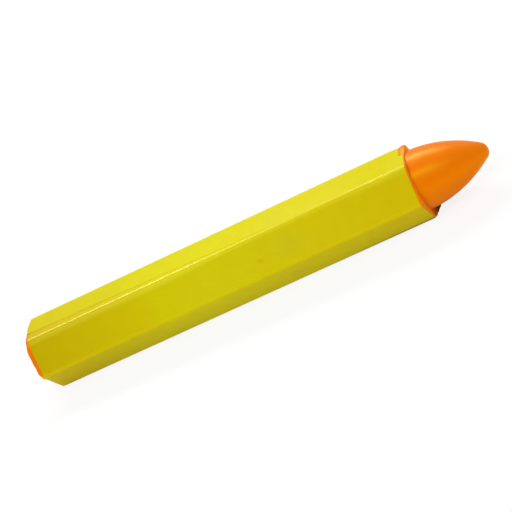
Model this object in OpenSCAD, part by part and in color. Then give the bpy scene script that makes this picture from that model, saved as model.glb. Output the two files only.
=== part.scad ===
// Wax marking crayon: a cast hexagonal stick of wax with an ogive nose, and one
// sheet of coated paper that is rolled round it and glued along an overlap.
// It lies on one flat along X, nose towards +X, with Z = 0 under the paper.

/* [Wax stick] */
// Width of the wax across two opposite flats
wax_flats = 15.6; // [12:0.1:20]
// Radius along the six long corners of the wax
corner_r = 1.5; // [0.8:0.1:2.5]
// Length of the hexagonal barrel, from the rear corners to the front ones
barrel_len = 99.4; // [60:0.1:140]

/* [Nose] */
// Length of the nose in front of the barrel's front corners
nose_len = 17.1; // [12:0.1:22]
// Diameter of the nose where it leaves the barrel
nose_d = 14.2; // [10.5:0.1:14.6]
// Radius of the blunt tip
tip_r = 2.25; // [1:0.05:3.5]
// Height of the nose above the barrel's axis, left by the two mould halves
nose_lift = 0.35; // [0:0.05:0.5]
// Length of the nose's curve that is buried in the barrel
nose_seat = 0.8; // [0.6:0.1:3]

/* [Shoulder and rear end] */
// Length over which the front corners slope up to the nose
shoulder_len = 0.25; // [0.2:0.05:1.2]
// Radius round the rim of the rear end
rear_rim_r = 1.6; // [1:0.1:2.4]
// How far the rear end bulges behind the barrel's rear corners
rear_rise = 2.8; // [2.5:0.1:4]

/* [Paper] */
// Thickness of the coated paper
paper_t = 0.12; // [0.08:0.01:0.25]
// Glue film between the wax and the paper, and between its two layers
glue_t = 0.03; // [0.02:0.01:0.05]
// Wax left bare behind the paper's front end
front_bare = 0.4; // [0:0.1:4]
// Wax left bare at the paper's rear end, where the wrap starts
rear_bare = 0.1; // [0:0.1:4]
// Width of the glued overlap along the seam
overlap = 5.4; // [4:0.1:6.5]
// Seam's distance from the start of the top face, at the rear end
seam_in = 5; // [4:0.1:6]
// Angle by which the sheet's two ends are out of square with the barrel
end_skew = 1; // [0.2:0.1:2]
// Angle by which the sheet's two long edges are out of line with the barrel
seam_skew = 1.8; // [0.5:0.1:2]
// Length along the sheet over which the flap climbs onto the first layer
climb = 1.2; // [0.6:0.1:2]

/* [Hidden] */
$fn = 96;
arc_steps = 8; // chords round each long corner, on the wax and on the paper
prism_clear = 0.05; // keeps the end profiles off the long corners' arcs
shoulder_in = 0.5; // how far the shoulder's slope runs on inside the nose

corner_in = corner_r / cos(30); // from a sharp corner to its arc's centre
centre_r = wax_flats / sqrt(3) - corner_in; // from the axis to an arc's centre
wax_corner = centre_r + corner_r; // axis to the outermost wax
end_r = wax_corner + prism_clear; // radius of the profile that trims both ends
axis_z = wax_flats / 2 + glue_t + paper_t; // the paper lies on Z = 0
stick_len = rear_rise + barrel_len + nose_len;
rear_x = rear_rise - stick_len / 2; // plane of the rear corners
front_x = rear_x + barrel_len; // plane of the front corners

// The rear end is an arc round the rim that meets a shallow dome, and the nose is a
// long arc that meets a small round tip. Both are one side arc and one tip arc,
// tangent to each other, so either radius follows from the other and the length.
function side_arc(base, len, tip) = (len * len - 2 * len * tip + base * base) / (2 * (base - tip));
function tip_arc(base, len, side) = (len * len + base * base - 2 * side * base) / (2 * (len - side));

// Half section of such an end: it starts along the axis at radius base and closes at len
module end_profile(base, len, side, tip) {
    tip_at = len - tip;
    join_at = side * tip_at / (side - tip);
    core = max(base - side, 0);
    intersection() {
        translate([base - side, 0]) circle(side);
        square([base, join_at]);
    }
    if (core > 0) square([core, join_at]);
    intersection() {
        translate([0, tip_at]) circle(tip);
        translate([0, join_at]) square([base, len]);
    }
}

// Hexagon with round corners, one flat downwards when it is turned along X
module barrel_section() {
    polygon([for (corner = [0:60:300], i = [0:arc_steps])
        let (a = corner - 30 + 60 * i / arc_steps)
        [centre_r * cos(corner) + corner_r * cos(a), centre_r * sin(corner) + corner_r * sin(a)]]);
}

module along_x() {
    translate([0, 0, axis_z]) rotate([90, 0, 90]) children();
}

module revolved_x() {
    translate([0, 0, axis_z]) rotate([0, 90, 0]) rotate_extrude() children();
}

// What is left of the barrel at both ends: the rear dome and the sloping shoulder
module barrel_ends() {
    shoulder_r = nose_d / 2 - nose_lift - shoulder_in;
    translate([rear_x, 0, 0]) revolved_x() {
        mirror([0, 1]) end_profile(end_r, rear_rise, rear_rim_r, tip_arc(end_r, rear_rise, rear_rim_r));
        polygon([[0, 0], [end_r, 0], [end_r, barrel_len],
                 [shoulder_r, barrel_len + shoulder_len], [0, barrel_len + shoulder_len]]);
    }
}

module nose() {
    curve_len = nose_seat + nose_len;
    translate([front_x - nose_seat, 0, nose_lift]) revolved_x()
        end_profile(nose_d / 2, curve_len, side_arc(nose_d / 2, curve_len, tip_r), tip_r);
}

module crayon_stick() {
    color("darkorange") union() {
        intersection() {
            translate([rear_x - rear_rise, 0, 0]) along_x()
                linear_extrude(stick_len) barrel_section();
            barrel_ends();
        }
        nose();
    }
}

// The wrapper follows the barrel's outline. A place on the sheet is given by x and by
// s, the length of sheet from the start of the top face's flat, round over the front.
flat_len = centre_r; // straight part of each side
arc_len = (corner_r + glue_t + paper_t / 2) * PI / 3; // sheet round one corner
side_len = flat_len + arc_len;
turn_len = 6 * side_len;
layer_t = glue_t + paper_t;

seam_rear = turn_len + seam_in; // flap's edge at the sheet's rear end
inner_rear = seam_in - overlap; // hidden first edge at the rear end
paper_rear = rear_x + rear_bare;
paper_len = barrel_len - front_bare - rear_bare;
seam_drift = paper_len * tan(seam_skew); // how far both edges wander on their way forwards
seam_front = seam_rear + seam_drift;
inner_front = inner_rear + seam_drift;

function rear_end(s) = paper_rear - s * tan(end_skew);
function front_end(s) = rear_end(s) + paper_len;
function low_x(s) = s <= seam_rear ? rear_end(s)
    : rear_end(s) + (front_end(s) - rear_end(s)) * (s - seam_rear) / seam_drift;
function high_x(s) = s >= inner_front ? front_end(s)
    : rear_end(s) + (front_end(s) - rear_end(s)) * (s - inner_rear) / seam_drift;

// Height of the sheet's inner face above the wax, one layer up once the turn is closed
function lift(s) = glue_t + layer_t * min(1, max(0, (s - turn_len - inner_rear + climb) / climb));

// Point of the section at s along the sheet and h above the wax
function section_point(s, h) =
    let (side = floor(s / side_len), on = s - side * side_len,
         turn = max(0, on - flat_len) / arc_len * 60,
         a = 90 + 60 * side, corner = a + 30,
         along = flat_len / 2 - min(on, flat_len))
    on <= flat_len
        ? [(wax_flats / 2 + h) * cos(a) + along * sin(a), (wax_flats / 2 + h) * sin(a) - along * cos(a)]
        : [centre_r * cos(corner) + (corner_r + h) * cos(a + turn),
           centre_r * sin(corner) + (corner_r + h) * sin(a + turn)];

function sorted(v) = len(v) < 2 ? v
    : let (p = v[0])
      concat(sorted([for (x = v) if (x < p) x]), [p], sorted([for (x = v) if (x > p) x]));

// Stations across the sheet: its edges, the climb and the steps round each corner
stations = sorted(concat(
    [inner_rear, inner_front, seam_rear, seam_front,
     turn_len + inner_rear - climb, turn_len + inner_rear],
    [for (side = [-1:7], i = [0:arc_steps])
        let (s = side * side_len + flat_len + arc_len * i / arc_steps)
        if (s > inner_rear && s < seam_front) s]));

function sheet_point(s, x, h) = let (p = section_point(s, h)) [x, p[0], axis_z + p[1]];

// Four points a station: inner face rear and front, then outer face rear and front
sheet_points = [for (s = stations, h = [lift(s), lift(s) + paper_t], x = [low_x(s), high_x(s)])
    sheet_point(s, x, h)];

// The sheet is skewed, so it starts and ends in a point: there both ends are one vertex
last = len(stations) - 1;
function at(k, outer, front) = 4 * k + 2 * outer + (k == 0 || k == last ? 0 : front);

module paper_wrapper() {
    color("yellow") polyhedron(sheet_points, [for (k = [0:last - 1])
        let (ri = at(k, 0, 0), fi = at(k, 0, 1), ro = at(k, 1, 0), fo = at(k, 1, 1),
             ri2 = at(k + 1, 0, 0), fi2 = at(k + 1, 0, 1), ro2 = at(k + 1, 1, 0), fo2 = at(k + 1, 1, 1))
        for (face = [[ri, fi2, fi], [ri, ri2, fi2], [ro, fo, fo2], [ro, fo2, ro2],
                     [ri, ro, ro2], [ri, ro2, ri2], [fi, fo2, fo], [fi, fi2, fo2]])
        if (face[0] != face[1] && face[1] != face[2] && face[0] != face[2]) face]);
}

crayon_stick();
paper_wrapper();
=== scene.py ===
import math

import bmesh
import bpy
from mathutils import Euler, Matrix, Vector, noise


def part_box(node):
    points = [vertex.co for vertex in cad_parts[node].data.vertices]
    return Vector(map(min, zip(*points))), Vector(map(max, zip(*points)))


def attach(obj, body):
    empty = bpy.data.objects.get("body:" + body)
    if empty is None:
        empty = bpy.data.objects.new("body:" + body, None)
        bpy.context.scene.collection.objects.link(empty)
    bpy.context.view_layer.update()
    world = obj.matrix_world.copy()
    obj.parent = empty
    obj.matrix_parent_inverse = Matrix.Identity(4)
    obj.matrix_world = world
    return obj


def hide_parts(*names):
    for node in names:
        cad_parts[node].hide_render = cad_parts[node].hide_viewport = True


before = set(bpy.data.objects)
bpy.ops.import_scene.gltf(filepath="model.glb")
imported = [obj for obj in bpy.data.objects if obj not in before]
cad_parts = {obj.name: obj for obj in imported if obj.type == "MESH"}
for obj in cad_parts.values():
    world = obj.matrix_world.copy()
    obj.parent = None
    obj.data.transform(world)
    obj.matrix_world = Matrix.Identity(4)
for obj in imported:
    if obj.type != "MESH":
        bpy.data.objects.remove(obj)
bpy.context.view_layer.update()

mm = 0.001
stickLow, stickHigh = [[c / mm for c in corner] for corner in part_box("crayon_stick")]
axisZ = (stickLow[2] + stickHigh[2]) / 2  # height of the barrel's axis, in mm like each size with no unit
waxFlats = stickHigh[2] - stickLow[2]
print("frame loaded: crayon", round(stickHigh[0] - stickLow[0], 1), "mm long")


def hexColour(code):  # sRGB hex to linear
    parts = [int(code[i:i + 2], 16) / 255 for i in (0, 2, 4)]
    return [c / 12.92 if c <= 0.04045 else ((c + 0.055) / 1.055) ** 2.4 for c in parts] + [1]


def smooth(a, b, x):  # eases from 0 at a to 1 at b, whichever of them is larger
    t = min(1, max(0, (x - a) / (b - a)))
    return t * t * (3 - 2 * t)


def fromTable(table, place):  # smooth value between the table's (place, value) pairs
    value = table[0][1]
    for (a, before), (b, after) in zip(table, table[1:]):
        if place >= a:
            value = before + (after - before) * smooth(a, b, place)
    return value


def meshPiece(bm, name, replaced, materials):  # a finished bmesh, in mm, becomes a piece
    bmesh.ops.scale(bm, vec=(mm, mm, mm), verts=bm.verts)
    mesh = bpy.data.meshes.new(name)
    bm.to_mesh(mesh)
    bm.free()
    for face in mesh.polygons:
        face.use_smooth = True
    piece = bpy.data.objects.new(name, mesh)
    bpy.context.scene.collection.objects.link(piece)
    for material in materials:
        mesh.materials.append(material)
    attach(piece, "root")
    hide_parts(replaced)
    print(name, "made:", len(mesh.polygons), "faces")


# links are (input, node, output) and values are (input, value)
def addNode(tree, kind, links=(), values=(), **settings):
    node = tree.nodes.new(kind)
    for key, value in settings.items():
        setattr(node, key, value)
    for socket, value in values:
        node.inputs[socket].default_value = value
    for socket, source, output in links:
        tree.links.new(source.outputs[output], node.inputs[socket])
    return node


# Wax stick: one cast piece, a rounded hexagon with a round nose. Angles are in degrees
# round its axis, from +Y.

stick = {
    "barrelLen": 99.4,       # between its rear and its front corners
    "cornerR": 1.5,
    "cornerPoints": 13,      # round each long corner
    "flatPoints": 14,        # across each flat
    "ridgeCorner": 120,      # the front-top corner
    # worn flat along it: where it faces, its depth, and how soft its upper and its lower edge are
    "ridgeFlat": {"angle": 136, "depth": 0.2, "upper": 0.03, "lower": 0.12},
    "flatSpan": (-0.3, 0.5),  # stretch across such a flat, from its upper edge to its lower one
    "barrelRings": (1.6, 4, 12, 25, 40, 55, 70, 85, 95, 97),  # from the rear corners
    "rearRise": 2.8,
    "rearRimR": 1.6,
    "rearR": 9.0,            # where the rear end's profile starts, just outside the long corners
    # how far the rear dome falls short of its even bulge, or goes past it, and radii where that sets in
    "rearShort": [(0, 0.6), (60, 0.95), (84, 0.95), (100, 0.45), (118, -0.05), (134, -0.2), (152, -0.12),
                  (165, -0.05), (176, -0.3), (186, -0.1), (196, 1.0), (235, 1.2), (280, 0.9), (360, 0.6)],
    "shortFrom": (3, 8),
    "noseR": 7.22,
    "noseSeat": 0.8,         # part of the nose's curve that is buried in the barrel
    "noseLift": 0.47,
    "rootLen": 2.2,          # stretch of the nose with rings close together, in front of the corners
    "rootCrowding": 1.4,     # more than 1 sets these rings closer towards the crease
    "tipR": 2.25,
    "tipX": stickHigh[0] + 0.1,
    "edgeR": [(0, 0.45), (62, 0.45), (90, 0.3), (300, 0.3), (360, 0.45)],  # shoulder's round outer edge
    "creaseR": 0.12,         # fillet where the nose leaves it
    "lean": 0.08,            # shoulder's slope, mm a mm
    # where the shoulder stands, in front of the barrel's corners: it was cast a little out of true
    "shoulderAt": [(0, 0.7), (60, 0.5), (95, -0.06), (130, -0.08), (162, -0.1), (180, 0.1), (205, 0.12),
                   (236, 0.06), (246, 0.45), (254, 1.0), (265, 1.6), (278, 1.8), (300, 1.3), (335, 0.9),
                   (360, 0.7)],
    # how far the bare rim swells past the flats, in front of the paper
    "swell": [(0, 0), (35, 0), (55, 0.27), (65, 0.27), (82, 0), (360, 0)],
    "swellRise": [(1.5, 0), (1.1, 0.5), (0.7, 0.9), (0.3, 1)],  # its share, by length behind that edge
    # painted shade on the shoulder's face, thickest in the pocket under the nose, which lies in shadow
    "paintedShade": [(0, 0.3), (60, 0), (216, 0), (232, 0.3), (242, 0.6), (253, 1), (290, 1), (330, 0.5),
              (360, 0.3)],
    "noseShadeShare": 0.8,        # share of it that the foot of the nose takes
    "creasePaintedShade": 0.17,      # painted shade in the crease, at least
    "creaseOnFace": 0.6,     # how far that reaches over the shoulder, and over the nose
    "creaseOnNose": 0.8,
    # unevenness of the casting: size, and waves a mm
    "lumps": (0.035, 0.45),
    "wavyLip": (0.05, 0.6),
    "lipFade": 3,            # how far in front of the barrel's corners the lip's waves reach
    # rings of points along each stretch, from the rear
    "domeRings": 14,
    "rimRings": 12,
    "edgeRings": 5,
    "faceRings": 6,
    "creaseRings": 5,
    "rootRings": 10,
    "noseRings": 60,
    "tipRings": 16,
}


def barrelEnds(cfg):  # x of the barrel's rear and front corners
    rear = stickLow[0] + cfg["rearRise"]
    return rear, rear + cfg["barrelLen"]


# from the axis to the centre of a long corner's arc: a flat's straight part is as wide
def cornerCentre(cfg):
    return waxFlats / math.sqrt(3) - cfg["cornerR"] / math.cos(math.radians(30))


def planeOff(y, z, cfg, height, facet, share):  # cuts the ridge down to the facet, by a share of its depth
    toward = math.radians(facet["angle"])
    aside = math.radians(facet["angle"] - cfg["ridgeCorner"])
    centreR = cornerCentre(cfg)
    reach = centreR * math.cos(aside) + cfg["cornerR"] + height - facet["depth"] * share
    out = y * math.cos(toward) + z * math.sin(toward) - reach
    down = z * math.cos(toward) - y * math.sin(toward) + centreR * math.sin(aside)
    blur = facet["upper"] + (facet["lower"] - facet["upper"]) * smooth(*cfg["flatSpan"], down)
    cut = (out + math.sqrt(out * out + blur * blur)) / 2 * min(1, 2 * share)
    return y - cut * math.cos(toward), z - cut * math.sin(toward)


def waxOutline(cfg):  # (y, z) round the rounded hexagon
    centreR = cornerCentre(cfg)
    points = []
    for side in range(6):
        corner = math.radians(60 * side)
        for i in range(cfg["cornerPoints"]):
            a = corner + math.radians(-30 + 60 * i / cfg["cornerPoints"])
            points.append((centreR * math.cos(corner) + cfg["cornerR"] * math.cos(a),
                           centreR * math.sin(corner) + cfg["cornerR"] * math.sin(a)))
        flat = corner + math.radians(30)
        for i in range(cfg["flatPoints"]):
            along = centreR * (i / cfg["flatPoints"] - 0.5)
            points.append((waxFlats / 2 * math.cos(flat) - along * math.sin(flat),
                           waxFlats / 2 * math.sin(flat) + along * math.cos(flat)))
    return [planeOff(y, z, cfg, 0, cfg["ridgeFlat"], 1) for y, z in points]


# The three parts of the stick's side, at one angle, from the rear. A ring is (x, radius, share of
# the nose's lift, darkness of the painted shade).

def barrelSide(cfg, degrees, hexR):
    rear = barrelEnds(cfg)[0]
    start, rim, rise = cfg["rearR"], cfg["rearRimR"], cfg["rearRise"]
    dome = (rise * rise + start * start - 2 * rim * start) / (2 * (rise - rim))
    join = math.asin((start - rim) / (dome - rim))
    profile = []
    for i in range(1, cfg["domeRings"] + 1):
        a = join * i / cfg["domeRings"]
        profile.append((rear - rise + dome * (1 - math.cos(a)), dome * math.sin(a)))
    for i in range(1, cfg["rimRings"] + 1):
        a = join + (math.pi / 2 - join) * i / cfg["rimRings"]
        profile.append((rear - rim * math.cos(a), start - rim + rim * math.sin(a)))
    short = fromTable(cfg["rearShort"], degrees)
    rings = [(x + short * smooth(*cfg["shortFrom"], r), min(hexR, r), 0, 0) for x, r in profile]
    return rings + [(rear + x, hexR, 0, 0) for x in cfg["barrelRings"]]


def shoulderSide(cfg, degrees, hexR, paintedShade, paintedDark):
    stand = barrelEnds(cfg)[1] + fromTable(cfg["shoulderAt"], degrees)
    swell = fromTable(cfg["swell"], degrees)
    edge, fillet, rootR = fromTable(cfg["edgeR"], degrees), cfg["creaseR"], cfg["noseR"]
    rings = [(stand - edge - x, hexR + share * swell, 0, 0) for x, share in cfg["swellRise"]]
    rimR = hexR + swell
    for i in range(cfg["edgeRings"] + 1):
        share = i / cfg["edgeRings"]
        a = math.pi / 2 * share
        rings.append((stand - edge + edge * math.sin(a), rimR - edge * (1 - math.cos(a)), 0, paintedShade * share))
    top, bottom = rimR - edge, rootR + fillet
    for i in range(1, cfg["faceRings"] + 1):
        r = top + (bottom - top) * i / cfg["faceRings"]
        shade = max(paintedShade, paintedDark * smooth(cfg["creaseOnFace"], 0, r - rootR))
        rings.append((stand + cfg["lean"] * (top - r), r, i / cfg["faceRings"], shade))
    foot = stand + cfg["lean"] * (top - bottom)
    shade = max(paintedDark, paintedShade)
    for i in range(1, cfg["creaseRings"] + 1):
        a = math.pi / 2 * i / cfg["creaseRings"]
        rings.append((foot + fillet * (1 - math.cos(a)), rootR + fillet * (1 - math.sin(a)), 1, shade))
    return rings


def noseSide(cfg, crease, paintedDark):  # a long arc that meets the small arc of the tip
    front = barrelEnds(cfg)[1]
    start, rootEnd = front - cfg["noseSeat"], front + cfg["rootLen"]
    rootR, tip = cfg["noseR"], cfg["tipR"]
    length = cfg["tipX"] - start
    arc = (length * length - 2 * length * tip + rootR * rootR) / (2 * (rootR - tip))
    first = math.asin((rootEnd - start) / arc)
    turn = math.atan2(length - tip, arc - rootR)
    rings = []
    for i in range(1, cfg["rootRings"] + 1):
        x = crease + (rootEnd - crease) * (i / cfg["rootRings"]) ** cfg["rootCrowding"]
        a = math.asin((x - start) / arc)
        shade = paintedDark * smooth(cfg["creaseOnNose"], 0, x - crease)
        rings.append((x, rootR - arc * (1 - math.cos(a)), 1, shade))
    for i in range(1, cfg["noseRings"] + 1):
        a = first + (turn - first) * i / cfg["noseRings"]
        rings.append((start + arc * math.sin(a), rootR - arc * (1 - math.cos(a)), 1, 0))
    for i in range(1, cfg["tipRings"]):  # the last one is the tip's pole
        a = turn + (math.pi / 2 - turn) * i / cfg["tipRings"]
        rings.append((cfg["tipX"] - tip + tip * math.sin(a), tip * math.cos(a), 1, 0))
    return rings


def stickSide(cfg, y, z):  # all rings at the angle of an outline point
    degrees, hexR = math.degrees(math.atan2(z, y)) % 360, math.hypot(y, z)
    paintedShade = fromTable(cfg["paintedShade"], degrees)
    paintedDark = max(cfg["creasePaintedShade"], cfg["noseShadeShare"] * paintedShade)
    shoulder = shoulderSide(cfg, degrees, hexR, paintedShade, paintedDark)
    return barrelSide(cfg, degrees, hexR) + shoulder + noseSide(cfg, shoulder[-1][0], paintedDark)


def makeStick(cfg, material):
    outline = waxOutline(cfg)
    bm = bmesh.new()
    # each point carries how much painted shade it takes, round the nose's foot and under it
    paintedDark = bm.verts.layers.float.new("crease")
    rear = bmesh.ops.create_circle(bm, segments=len(outline), radius=1, cap_ends=True)
    ring = list(rear["verts"])
    edges = bm.edges[:]
    rows = [ring]
    sides = [stickSide(cfg, y, z) for y, z in outline]
    for step in range(1, len(sides[0])):
        grown = bmesh.ops.extrude_edge_only(bm, edges=edges)["geom"]
        fresh = {g for g in grown if isinstance(g, bmesh.types.BMVert)}
        edges = [g for g in grown if isinstance(g, bmesh.types.BMEdge)
                 and g.verts[0] in fresh and g.verts[1] in fresh]
        ring = [next(e.other_vert(v) for e in v.link_edges if e.other_vert(v) in fresh) for v in ring]
        rows.append(ring)
    lump, lumpWaves = cfg["lumps"]
    lip, lipWaves = cfg["wavyLip"]
    elsewhere = Vector((9, 0, 0))  # in the noise, so that the lip's waves aren't the lumps
    front = barrelEnds(cfg)[1]
    for step, row in enumerate(rows):
        for v, side, (y, z) in zip(row, sides, outline):
            x, r, lift, darkness = side[step]
            a = math.atan2(z, y)
            place = Vector((x, r * math.cos(a), r * math.sin(a)))
            if lift > 0:
                place += place.normalized() * lump * noise.noise(place * lumpWaves)
                fade = smooth(cfg["lipFade"], 0, x - front)
                place.x += lip * noise.noise(place * lipWaves + elsewhere) * fade
            v.co = (place.x, place.y, axisZ + place.z + lift * cfg["noseLift"])
            v[paintedDark] = darkness
    nose = bmesh.ops.poke(bm, faces=bmesh.ops.contextual_create(bm, geom=edges)["faces"])
    nose["verts"][0].co = (cfg["tipX"], 0, axisZ + cfg["noseLift"])
    tail = bmesh.ops.poke(bm, faces=[f for f in bm.faces if len(f.verts) > 4])
    tail["verts"][0].co = (stickLow[0], 0, axisZ)
    bmesh.ops.recalc_face_normals(bm, faces=bm.faces)
    meshPiece(bm, "waxStick", "crayon_stick", [material])


# Paper wrapper: one sheet, laid out flat, trimmed, then rolled round the wax. A place on the flat
# sheet is x along the crayon and s round it, from the start of the top face and down over the front.

sheetCut = {
    "thick": 0.12,
    "glue": 0.03,
    "frontBare": 0.4,
    "rearBare": 0.1,
    "overlap": 5.5,
    "seamIn": 5.15,          # s of the flap's edge, less one turn, at its rear end
    "endSkew": math.radians(1.0),
    "seamSkew": math.radians(1.8),
    "climb": 1.2,            # width over which the flap climbs onto the first layer
    "cornerPoints": 18,
    "flatPoints": 20,
    "rows": 90,
    "rowShift": 0.012,       # rows stand a little closer towards both ends
    "pressed": 0.5,          # stretch at both ends that is pressed onto the wax
    "thinEdge": 4.5,         # stretches over which it thins towards the flap's edge and its front end
    "thinEnd": 1.6,
    "thinFrom": -2,          # s, less one turn, from which its front end is thinned
    "wavy": 0.02,            # height of its waves on each flat, and their number a mm along x and s
    "waves": (0.07, 0.12),
    # how far the trimmed ends wander from straight, by s
    "frontTrim": [(0, 0.15), (3.6, 0.15), (8.3, 0.07), (13, 0.01), (16.9, 0), (18.7, 0.13), (20.9, 0.28),
                  (24.6, 0.6), (36, 0.4), (52, 0.0), (55, 0.08), (58.4, 0.05), (60.3, -0.15), (61.6, -0.4)],
    "rearTrim": [(0, -0.3), (9, -0.41), (13, -0.36), (15.8, -0.3), (17.4, -0.62), (18.4, -0.62), (20, -0.4),
                 (22.2, -0.2), (24.1, 0.06), (25.2, 0.2), (40, 0.5), (52.7, 0.6), (54, 0.5), (55.5, 0.15),
                 (56.4, -0.04), (58.2, 0)],
    # height of the flap's edge over the layer below, by x: it lies flatter towards the nose
    "edgeStep": [(-57, 0.025), (-30, 0.02), (42, 0.012)],
    # share of the ridge's worn flat that shows in the paper, by x
    "ridgeShare": [(-57, 1), (-18, 1), (-2, 0.3), (20, 0.2), (32, 0.7), (42, 0.8)],
    # the thin shiny fold just above that
    "foldFlat": {"angle": 100, "depth": 0.022, "upper": 0.006, "lower": 0.006},
    "foldShare": [(-57, 1.3), (-22, 1.3), (-8, 0.3), (24, 0.1), (33, 1.2), (42, 1.1)],
}


def planSheet(cfg, wax):  # sizes of the flat sheet that follow from the barrel's
    rear, front = barrelEnds(wax)
    flatLen = cornerCentre(wax)
    arcLen = (wax["cornerR"] + cfg["glue"] + cfg["thick"] / 2) * math.pi / 3
    turnLen = 6 * (flatLen + arcLen)
    rearX = rear + cfg["rearBare"]
    length = front - cfg["frontBare"] - rearX
    seamRear = turnLen + cfg["seamIn"]
    return {
        "flatLen": flatLen, "arcLen": arcLen, "sideLen": flatLen + arcLen, "turnLen": turnLen,
        "rearX": rearX, "length": length, "drift": length * math.tan(cfg["seamSkew"]),
        "firstEdge": cfg["seamIn"] - cfg["overlap"],           # s of both long edges at the rear end
        "flapEdge": seamRear,
        "flapX": rearX - seamRear * math.tan(cfg["endSkew"]),  # x of the flap's rear corner
    }


def sheetEnds(s, cfg, plan):  # x of the sheet's rear and front end
    rear = plan["rearX"] - s * math.tan(cfg["endSkew"])
    return rear + fromTable(cfg["rearTrim"], s), rear + plan["length"] + fromTable(cfg["frontTrim"], s)


def thicknessLeft(s, x, cfg, plan):  # as a share of the sheet, which is rubbed thin towards the flap's edges
    front = sheetEnds(s, cfg, plan)[1]
    left = (plan["flapEdge"] + (x - plan["flapX"]) * math.tan(cfg["seamSkew"]) - s) / cfg["thinEdge"]
    if s > plan["turnLen"] + cfg["thinFrom"]:
        left = min(left, (front - x) / cfg["thinEnd"])
    step = fromTable(cfg["edgeStep"], x) / cfg["thick"]
    return step + (1 - step) * min(1, max(0, left))


def rollOn(s, x, outside, cfg, plan, wax):  # where a point of the flat sheet comes to lie
    rear, front = sheetEnds(s, cfg, plan)
    share = thicknessLeft(s, x, cfg, plan)
    climbed = min(1, max(0, (s - plan["turnLen"] - plan["firstEdge"] + cfg["climb"]) / cfg["climb"]))
    glued = cfg["glue"] * smooth(0, cfg["pressed"], min(x - rear, front - x))
    h = glued + climbed * (cfg["thick"] + cfg["glue"] * share) + cfg["thick"] * share * outside
    side = math.floor(s / plan["sideLen"])
    on = s - side * plan["sideLen"]
    flat = math.radians(90 + 60 * side)
    flatLen = plan["flatLen"]
    if on <= flatLen:
        wave = noise.noise(Vector((x * cfg["waves"][0], s * cfg["waves"][1], 3)))
        h += cfg["wavy"] * wave * math.sin(math.pi * on / flatLen)
        along = flatLen / 2 - on
        y = (waxFlats / 2 + h) * math.cos(flat) + along * math.sin(flat)
        z = (waxFlats / 2 + h) * math.sin(flat) - along * math.cos(flat)
    else:
        corner = flat + math.radians(30)
        a = flat + (on - flatLen) / plan["arcLen"] * math.radians(60)
        y = flatLen * math.cos(corner) + (wax["cornerR"] + h) * math.cos(a)
        z = flatLen * math.sin(corner) + (wax["cornerR"] + h) * math.sin(a)
    y, z = planeOff(y, z, wax, h, wax["ridgeFlat"], fromTable(cfg["ridgeShare"], x))
    y, z = planeOff(y, z, wax, h, cfg["foldFlat"], fromTable(cfg["foldShare"], x))
    return Vector((x, y, axisZ + z))


def cutSheet(cfg, plan):  # the flat sheet, cut to its skewed shape, with x and s as its coordinates
    last = plan["flapEdge"] + plan["drift"]
    columns = [plan["firstEdge"], last]
    for side in range(-1, 8):
        start = side * plan["sideLen"]
        for i in range(cfg["flatPoints"]):
            columns.append(start + plan["flatLen"] * i / cfg["flatPoints"])
        for i in range(cfg["cornerPoints"]):
            columns.append(start + plan["flatLen"] + plan["arcLen"] * i / cfg["cornerPoints"])
    columns = sorted(c for c in columns if plan["firstEdge"] <= c <= last)

    bm = bmesh.new()
    bmesh.ops.create_grid(bm, x_segments=cfg["rows"], y_segments=len(columns) - 1, size=0.5)
    for v in bm.verts:
        s = columns[round((v.co.y + 0.5) * (len(columns) - 1))]
        rear, front = sheetEnds(s, cfg, plan)
        along = v.co.x + 0.5
        v.co = (rear + (along - cfg["rowShift"] * math.sin(2 * math.pi * along)) * (front - rear), s, 0)
    across = Vector((-math.sin(cfg["seamSkew"]), math.cos(cfg["seamSkew"]), 0))
    firstX = plan["rearX"] - plan["firstEdge"] * math.tan(cfg["endSkew"])
    firstCorner = Vector((firstX, plan["firstEdge"], 0))
    flapCorner = Vector((plan["flapX"], plan["flapEdge"], 0))
    for place, normal in ((firstCorner, across), (flapCorner, -across)):
        bmesh.ops.bisect_plane(bm, geom=bm.verts[:] + bm.edges[:] + bm.faces[:], dist=1e-5,
                               plane_co=place, plane_no=normal, clear_inner=True)
    flat = bm.loops.layers.uv.new("flat")  # x and s in cm
    for face in bm.faces:
        for loop in face.loops:
            loop[flat].uv = (loop.vert.co.x / 10, loop.vert.co.y / 10)
    return bm


def makePaper(cfg, plan, wax, materials):
    bm = cutSheet(cfg, plan)
    sheet = bm.faces[:] + bm.edges[:]
    grown = bmesh.ops.extrude_face_region(bm, geom=sheet, use_keep_orig=True)["geom"]
    outer = {g for g in grown if isinstance(g, bmesh.types.BMVert)}
    for face in bm.faces:
        if len({v in outer for v in face.verts}) == 2:  # cut edge of the sheet
            face.material_index = 1
    for edge in bm.edges:
        if len({f.material_index for f in edge.link_faces}) == 2:
            edge.smooth = False
    for v in bm.verts:
        v.co = rollOn(v.co.y, v.co.x, v in outer, cfg, plan, wax)
    bmesh.ops.recalc_face_normals(bm, faces=bm.faces)
    meshPiece(bm, "paperSheet", "paper_wrapper", materials)


# Materials

waxLook = {
    "colour": "FF7C03",
    "deep": "F66C00",        # its clouds
    "deepShare": 0.35,
    "crease": "4A0400",      # painted shade where the nose leaves the shoulder and in the pocket under it
    "creaseShadeStrength": 0.97,
    "clouds": 260,           # a metre: each about 4 mm across
    "pits": 1800,            # a metre: grain about 0.5 mm
    "pitted": 0.12,
    "roughness": 0.36,
    "gloss": 0.78,           # level of its specular reflection
    "glossTint": (1, 1, 0.03, 1),
    "bloom": 0.12,           # waxy bloom at glancing angles
    "bloomTint": (1, 0.75, 0.02, 1),
}


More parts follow.
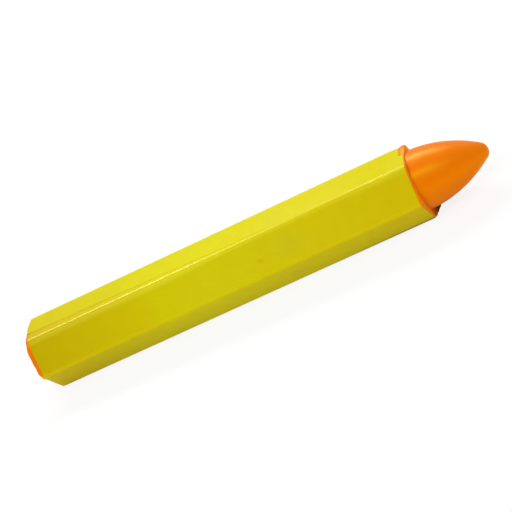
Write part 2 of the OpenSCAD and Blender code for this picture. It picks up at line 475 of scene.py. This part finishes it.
def castWax(cfg):  # filled marking wax, cast: a satin skin with soft clouding, fine casting pits and painted shade in the crease
    mat = bpy.data.materials.new("castOrangeWax")
    mat.use_nodes = True
    tree = mat.node_tree
    shader = tree.nodes["Principled BSDF"]
    place = addNode(tree, "ShaderNodeTexCoord")
    cloud = addNode(tree, "ShaderNodeTexNoise", [("Vector", place, "Object")],
                    [("Scale", cfg["clouds"]), ("Detail", 4), ("Roughness", 0.6)])
    clouded = addNode(tree, "ShaderNodeMapRange", [("Value", cloud, "Fac")],
                      [("From Min", 0.35), ("From Max", 0.7), ("To Max", cfg["deepShare"])])
    body = addNode(tree, "ShaderNodeMix", [("Factor", clouded, "Result")],
                   [(6, hexColour(cfg["colour"])), (7, hexColour(cfg["deep"]))], data_type="RGBA")
    # painted shade: the crease attribute darkens the colour round the nose's foot and in the pocket under it
    crease = addNode(tree, "ShaderNodeAttribute", attribute_name="crease")
    paintedShade = addNode(tree, "ShaderNodeMath", [(0, crease, "Fac")], [(1, cfg["creaseShadeStrength"])],
                    operation="MULTIPLY")
    colour = addNode(tree, "ShaderNodeMix", [("Factor", paintedShade, 0), (6, body, 2)],
                     [(7, hexColour(cfg["crease"]))], data_type="RGBA")
    tree.links.new(colour.outputs[2], shader.inputs["Base Color"])
    pits = addNode(tree, "ShaderNodeTexNoise", [("Vector", place, "Object")],
                   [("Scale", cfg["pits"]), ("Detail", 3), ("Roughness", 0.55)])
    bump = addNode(tree, "ShaderNodeBump", [("Height", pits, "Fac")],
                   [("Strength", cfg["pitted"]), ("Distance", 0.0001)])
    tree.links.new(bump.outputs[0], shader.inputs["Normal"])
    shader.inputs["Roughness"].default_value = cfg["roughness"]
    shader.inputs["Specular IOR Level"].default_value = cfg["gloss"]
    shader.inputs["Specular Tint"].default_value = cfg["glossTint"]
    shader.inputs["Sheen Weight"].default_value = cfg["bloom"]
    shader.inputs["Sheen Roughness"].default_value = 0.5
    shader.inputs["Sheen Tint"].default_value = cfg["bloomTint"]
    return mat


# Places on the sheet are x and s in cm here, except in the tables by x, which are in mm.

paperLook = {
    "rampLen": 12,           # the next three run over this length, about the crayon's middle
    # the top's tone and the painted shade of the faces below the flap's edge, each aged towards the rear and
    # a little warmer at the front, by x
    "topTone": [(-57, "D7C607"), (-33, "DAD007"), (-29, "DED508"), (-12, "E1D90A"), (39, "E1D406")],
    "shadedSides": [(-57, "D1B905"), (-29, "DDCD08"), (-24, "DFD50A"), (-10, "E1D811"), (39, "E1CB0A")],
    # roughness, by x
    "polish": [(-57, 0.17), (-16, 0.17), (-1, 0.22), (13, 0.34), (25, 0.3), (37, 0.2), (41, 0.34)],
    "gloss": 0.19,           # level of its specular reflection
    "glossTint": (0.95, 1, 0.15, 1),
    "core": "EBE04A",
    # painted shade on the faces below the flap's edge, a deeper yellow than the top, by the way round from
    # the flap's edge:
    # where it starts, where it weakens onto the lower face and how far, and where it ends underneath
    "shadedSideFrom": (-0.02, 0.03),
    "weakerFrom": (1.05, 1.35),
    "weaker": 0.4,
    "shadedSideTo": (2, 2.6),
    # colour of the painted shadow along the flap's edge, also used for the coating's random mottling
    "seamShadowAndMottle": "9A7A04",
    "seamLine": 0.035,       # half width of the painted shadow along the flap's edge
    "seamDark": 0.3,
    "seamFade": (-4, 2.2),   # x between which it fades out
    "mottle": 0.05,
    "clouds": 3.2,           # a cm: each about 3 mm across
    "fibres": 28,            # a cm: each about 0.35 mm
    "fibreRelief": 0.05,
    "ragged": 18,            # a cm: the marks' outlines are broken up at about 0.5 mm, by up to shift
    "shift": 0.02,
    # colour of the painted highlight along the corners
    "rubbed": "FFE80A",
    "highlightAt": 1.738,       # s of the painted highlight along the lower front corner: the next are a side further
    "highlightFrom": (1.4, 1.55),   # s where these lines set in
    "rubbedWide": (0.02, 0.1),   # half width of their middle, and with their soft edges
    "highlightShare": (0.1, 0.22),  # least and most of them
    "leastHighlight": -0.96,        # x of the least, and shares of rampLen off it that make least and most
    "highlightReach": (0.02, 0.4),
    # wear marks, the last of them a painted shadow: x and s, half length and half width, turn in degrees,
    # shade, strength, softness
    "marks": [
        (0.30, 1.36, 0.15, 0.075, 28, "E4A008", 0.5, 1),         # smear of wax
        (-5.55, 1.66, 0.09, 0.06, 20, "DE9A0C", 0.6, 1),         # wax worked out from under the rear end
        (-5.6, 1.88, 0.04, 0.03, 0, "D07A04", 0.6, 0.7),
        (-5.54, 2.30, 0.035, 0.03, 0, "C86A04", 0.6, 0.7),
        (3.95, 6.143, 0.12, 0.009, -10, "B89C3C", 0.6, 0.6),     # scuffed end of the flap
        (4.03, 6.128, 0.035, 0.016, -10, "D8B078", 0.9, 0.6),
        (3.82, 6.136, 0.022, 0.012, 0, "E89430", 0.6, 0.6),
        (1.52, 1.80, 0.05, 0.012, 0, "E6E0A0", 0.4, 0.5),
        (0.68, 1.28, 0.32, 0.009, 23, "EFE880", 0.14, 0.7),      # fine scratches
        (1.53, 1.53, 0.32, 0.009, 76, "EFE880", 0.14, 0.7),
        (1.10, 1.28, 0.56, 0.42, 0, "C9BC3C", 0.14, 0.7),        # dull rubbed places
        (0.95, 5.78, 0.36, 0.3, 0, "C9BC3C", 0.14, 0.7),
        (0.95, 2.15, 0.4, 0.2, 0, "CEB460", 0.25, 0.9),
        (-5.3, 2.52, 0.3, 0.12, 0, "C88608", 0.35, 1),
        (4.6, 2.62, 4.2, 0.17, 0, "2A2604", 1, 0.8),             # painted shadow along the corner that it rests on
    ],
}


def shadedSideCover(tree, nearest, cfg):  # painted shade, down from the flap's edge
    outside, inside = cfg["shadedSideFrom"]
    cover = addNode(tree, "ShaderNodeMapRange", [("Value", nearest, 0)],
                    [("From Min", outside), ("From Max", inside)])
    inside, outside = cfg["weakerFrom"]
    toLower = addNode(tree, "ShaderNodeMapRange", [("Value", nearest, 0)],
                      [("From Min", outside), ("From Max", inside), ("To Min", cfg["weaker"])])
    inside, outside = cfg["shadedSideTo"]
    toUnder = addNode(tree, "ShaderNodeMapRange", [("Value", nearest, 0)],
                      [("From Min", outside), ("From Max", inside)])
    for fade in (toLower, toUnder):
        cover = addNode(tree, "ShaderNodeMath", [(0, cover, 0), (1, fade, 0)], operation="MULTIPLY")
    return cover


def seamShadowCover(tree, parts, nearest, cfg):  # painted shadow: a soft dark line along the flap's edge, below its step
    aside = addNode(tree, "ShaderNodeMath", [(0, nearest, 0)], operation="ABSOLUTE")
    line = addNode(tree, "ShaderNodeMapRange", [("Value", aside, 0)],
                   [("From Min", cfg["seamLine"]), ("From Max", 0), ("To Max", cfg["seamDark"])],
                   interpolation_type="SMOOTHSTEP")
    full, gone = cfg["seamFade"]
    fade = addNode(tree, "ShaderNodeMapRange", [("Value", parts, "X")],
                   [("From Min", gone), ("From Max", full)])
    return addNode(tree, "ShaderNodeMath", [(0, line, 0), (1, fade, 0)], operation="MULTIPLY")


def cloudCover(tree, flat, cfg):  # the coating is a little uneven
    cloud = addNode(tree, "ShaderNodeTexNoise", [("Vector", flat, 0)],
                    [("Scale", cfg["clouds"]), ("Detail", 3)])
    return addNode(tree, "ShaderNodeMapRange", [("Value", cloud, 0)],
                   [("From Min", 0.35), ("From Max", 0.7), ("To Max", cfg["mottle"])])


# painted highlight: a pale line along every corner from the lower front one round, stronger towards both
# ends
def cornerHighlightCover(tree, parts, along, cfg, side):
    at = cfg["highlightAt"]
    corner = addNode(tree, "ShaderNodeMath", [(0, parts, "Y")], [(1, at + side / 2), (2, at - side / 2)],
                     operation="WRAP")
    off = addNode(tree, "ShaderNodeMath", [(0, corner, 0)], [(1, at)], operation="SUBTRACT")
    off = addNode(tree, "ShaderNodeMath", [(0, off, 0)], operation="ABSOLUTE")
    middle, edge = cfg["rubbedWide"]
    cover = addNode(tree, "ShaderNodeMapRange", [("Value", off, 0)],
                    [("From Min", edge), ("From Max", middle)], interpolation_type="SMOOTHSTEP")
    near, far = cfg["highlightReach"]
    leastAt = 0.5 + cfg["leastHighlight"] / cfg["rampLen"]
    away = addNode(tree, "ShaderNodeMath", [(0, along, 0)], [(1, leastAt)], operation="SUBTRACT")
    away = addNode(tree, "ShaderNodeMath", [(0, away, 0)], operation="ABSOLUTE")
    least, most = cfg["highlightShare"]
    stretch = addNode(tree, "ShaderNodeMapRange", [("Value", away, 0)],
                      [("From Min", near), ("From Max", far), ("To Min", least), ("To Max", most)])
    start, full = cfg["highlightFrom"]
    below = addNode(tree, "ShaderNodeMapRange", [("Value", parts, "Y")],
                    [("From Min", start), ("From Max", full)])
    for share in (stretch, below):
        cover = addNode(tree, "ShaderNodeMath", [(0, cover, 0), (1, share, 0)], operation="MULTIPLY")
    return cover


def wearAndShadowMarks(tree, flat, cfg):  # (cover, shade) of each mark: a soft oval with a ragged outline
    ragged = addNode(tree, "ShaderNodeTexNoise", [("Vector", flat, 0)],
                     [("Scale", cfg["ragged"]), ("Detail", 3)])
    reach = cfg["shift"]
    shift = addNode(tree, "ShaderNodeVectorMath", [(0, ragged, "Color")],
                    [(1, (2 * reach, 2 * reach, 0)), (2, (-reach, -reach, 0))], operation="MULTIPLY_ADD")
    broken = addNode(tree, "ShaderNodeVectorMath", [(0, flat, 0), (1, shift, 0)], operation="ADD")
    marks = []
    for x, s, length, width, turn, shade, strength, soft in cfg["marks"]:
        oval = addNode(tree, "ShaderNodeMapping", [("Vector", broken, 0)],
                       [("Location", (x, s, 0)), ("Rotation", (0, 0, math.radians(turn))),
                        ("Scale", (length, width, 1))], vector_type="TEXTURE")
        away = addNode(tree, "ShaderNodeVectorMath", [(0, oval, 0)], operation="LENGTH")
        cover = addNode(tree, "ShaderNodeMapRange", [("Value", away, "Value")],
                        [("From Min", 1), ("From Max", 1 - soft), ("To Max", strength)],
                        interpolation_type="SMOOTHSTEP")
        marks.append((cover, shade))
    return marks


# gloss-coated label paper: bright yellow with a tight sheen over faint fibres
def coatedPaper(cfg, cut, plan):
    mat = bpy.data.materials.new("glossCoatedPaper")
    mat.use_nodes = True
    tree = mat.node_tree
    shader = tree.nodes["Principled BSDF"]
    flat = addNode(tree, "ShaderNodeUVMap", uv_map="flat")
    parts = addNode(tree, "ShaderNodeSeparateXYZ", [(0, flat, 0)])
    along = addNode(tree, "ShaderNodeMapRange", [("Value", parts, "X")],
                    [("From Min", -cfg["rampLen"] / 2), ("From Max", cfg["rampLen"] / 2)])
    ramps = {}
    for key in ("topTone", "shadedSides", "polish"):
        ramps[key] = addNode(tree, "ShaderNodeValToRGB", [(0, along, 0)])
        stops = ramps[key].color_ramp.elements
        stops.remove(stops[1])
        for x, value in cfg[key]:
            shade = (value, value, value, 1) if key == "polish" else hexColour(value)
            stops.new(0.5 + x / 10 / cfg["rampLen"]).color = shade
        stops.remove(stops[0])

    # how far round the sheet a place is from the flap's edge
    skew = math.tan(cut["seamSkew"])
    seamAtMiddle = (cut["seamIn"] - plan["flapX"] * skew) / 10
    halfTurn = plan["turnLen"] / 20
    flapEdge = addNode(tree, "ShaderNodeMath", [(0, parts, "X")], [(1, skew), (2, seamAtMiddle)],
                       operation="MULTIPLY_ADD")
    past = addNode(tree, "ShaderNodeMath", [(0, parts, "Y"), (1, flapEdge, 0)], operation="SUBTRACT")
    nearest = addNode(tree, "ShaderNodeMath", [(0, past, 0)], [(1, halfTurn), (2, -halfTurn)],
                      operation="WRAP")

    # painted shade: the faces below the flap's edge take a deeper yellow than the top
    shadedSides = shadedSideCover(tree, nearest, cfg)
    colour = addNode(tree, "ShaderNodeMix",
                     [("Factor", shadedSides, 0), (6, ramps["topTone"], 0), (7, ramps["shadedSides"], 0)],
                     data_type="RGBA")
    # painted shadow along the flap's edge, random mottling, and a painted highlight along the corners
    layers = [(seamShadowCover(tree, parts, nearest, cfg), cfg["seamShadowAndMottle"]),
              (cloudCover(tree, flat, cfg), cfg["seamShadowAndMottle"]),
              (cornerHighlightCover(tree, parts, along, cfg, plan["sideLen"] / 10), cfg["rubbed"])]
    for cover, shade in layers + wearAndShadowMarks(tree, flat, cfg):
        colour = addNode(tree, "ShaderNodeMix", [("Factor", cover, 0), (6, colour, 2)],
                         [(7, hexColour(shade))], data_type="RGBA")
    tree.links.new(colour.outputs[2], shader.inputs["Base Color"])

    fibre = addNode(tree, "ShaderNodeTexNoise", [("Vector", flat, 0)],
                    [("Scale", cfg["fibres"]), ("Detail", 4)])
    bump = addNode(tree, "ShaderNodeBump", [("Height", fibre, "Fac")],
                   [("Strength", cfg["fibreRelief"]), ("Distance", 0.0001)])
    tree.links.new(bump.outputs[0], shader.inputs["Normal"])
    tree.links.new(ramps["polish"].outputs[0], shader.inputs["Roughness"])
    shader.inputs["Specular IOR Level"].default_value = cfg["gloss"]
    shader.inputs["Specular Tint"].default_value = cfg["glossTint"]
    return mat


def paperCore(cfg):  # cut edge of the label paper: uncoated, pale and matte
    mat = bpy.data.materials.new("cutPaperEdge")
    mat.use_nodes = True
    shader = mat.node_tree.nodes["Principled BSDF"]
    shader.inputs["Base Color"].default_value = hexColour(cfg["core"])
    shader.inputs["Roughness"].default_value = 0.8
    return mat


# Floor, light and camera

studio = {
    "floorHalf": 3,          # m
    "boardTone": "F4F0A4",   # what the floor throws back onto the crayon
    "boardGlow": 0.85,       # share of plain white that the camera sees in it, so its shadows are faint
    "worldLight": 0.42,      # strength of the white world as a light
    # watts, angle over the back from +Y, distance, length, width and x in m
    "backLight": (2.2, 52, 0.6, 0.6, 0.1, -0.12),
    "frontLight": (1.32, 123, 0.6, 0.6, 0.12, -0.05),
}


def makeFloor(cfg):
    bm = bmesh.new()
    bmesh.ops.create_grid(bm, x_segments=1, y_segments=1, size=cfg["floorHalf"])
    mesh = bpy.data.meshes.new("floor")
    bm.to_mesh(mesh)
    bm.free()
    floor = bpy.data.objects.new("floor", mesh)
    bpy.context.scene.collection.objects.link(floor)
    mat = bpy.data.materials.new("paleBoard")
    mat.use_nodes = True
    tree = mat.node_tree
    tree.nodes.remove(tree.nodes["Principled BSDF"])
    path = addNode(tree, "ShaderNodeLightPath")
    tone = addNode(tree, "ShaderNodeMix", [("Factor", path, "Is Camera Ray")],
                   [(6, hexColour(cfg["boardTone"])), (7, (1, 1, 1, 1))], data_type="RGBA")
    board = addNode(tree, "ShaderNodeBsdfDiffuse", [("Color", tone, 2)])
    glow = addNode(tree, "ShaderNodeEmission", values=[("Strength", 1)])
    seen = addNode(tree, "ShaderNodeMath", [(0, path, "Is Camera Ray")], [(1, cfg["boardGlow"])],
                   operation="MULTIPLY")
    mix = addNode(tree, "ShaderNodeMixShader", [(0, seen, 0), (1, board, 0), (2, glow, 0)])
    tree.links.new(mix.outputs[0], tree.nodes["Material Output"].inputs[0])
    mesh.materials.append(mat)


def makeWorld(cfg):  # plain white to the camera, and weaker as a light
    world = bpy.data.worlds.new("studio")
    bpy.context.scene.world = world
    world.use_nodes = True
    tree = world.node_tree
    path = addNode(tree, "ShaderNodeLightPath")
    level = addNode(tree, "ShaderNodeMapRange", [("Value", path, "Is Camera Ray")],
                    [("To Min", cfg["worldLight"]), ("To Max", 1)])
    tree.links.new(level.outputs[0], tree.nodes["Background"].inputs["Strength"])
    tree.nodes["Background"].inputs["Color"].default_value = (1, 1, 1, 1)


# a strip light that runs along the crayon and faces its axis
def makeLamp(name, watts, angle, far, length, width, x):
    lamp = bpy.data.lights.new(name, "AREA")
    lamp.energy = watts
    lamp.shape = "RECTANGLE"
    lamp.size = length
    lamp.size_y = width
    lampObject = bpy.data.objects.new(name, lamp)
    bpy.context.scene.collection.objects.link(lampObject)
    a = math.radians(angle)
    lampObject.location = (x, far * math.cos(a), far * math.sin(a))
    lampObject.rotation_euler = Euler((a - math.pi / 2, 0, 0))


cameraPlace = {
    # turn in degrees, and place in mm
    "azimuth": 18.69,
    "elevation": 30.68,
    "roll": -34.51,
    "focalPixels": 1887,
    "imagePixels": 512,
    "sensor": 36,
    "place": (120.85, -356.4, 231.4),
}


def makeCamera(cfg):
    az, el, roll = (math.radians(cfg[k]) for k in ("azimuth", "elevation", "roll"))
    back = Vector((math.sin(az) * math.cos(el), -math.cos(az) * math.cos(el), math.sin(el)))
    right = Vector((math.cos(az), math.sin(az), 0))
    up = back.cross(right)
    cam = bpy.data.cameras.new("camera")
    cam.sensor_width = cfg["sensor"]
    cam.lens = cfg["focalPixels"] / cfg["imagePixels"] * cfg["sensor"]
    cam.clip_start = 0.01
    camera = bpy.data.objects.new("camera", cam)
    bpy.context.scene.collection.objects.link(camera)
    x = right * math.cos(roll) + up * math.sin(roll)
    y = up * math.cos(roll) - right * math.sin(roll)
    camera.matrix_world = Matrix((x, y, back)).transposed().to_4x4()
    camera.location = [c * mm for c in cfg["place"]]
    bpy.context.scene.camera = camera


makeCamera(cameraPlace)
makeFloor(studio)
makeWorld(studio)
for name in ("backLight", "frontLight"):
    makeLamp(name, *studio[name])
print("camera, floor and lights made")
makeStick(stick, castWax(waxLook))
sheetPlan = planSheet(sheetCut, stick)
paper = [coatedPaper(paperLook, sheetCut, sheetPlan), paperCore(paperLook)]
makePaper(sheetCut, sheetPlan, stick, paper)
bpy.context.scene.view_settings.view_transform = "Standard"
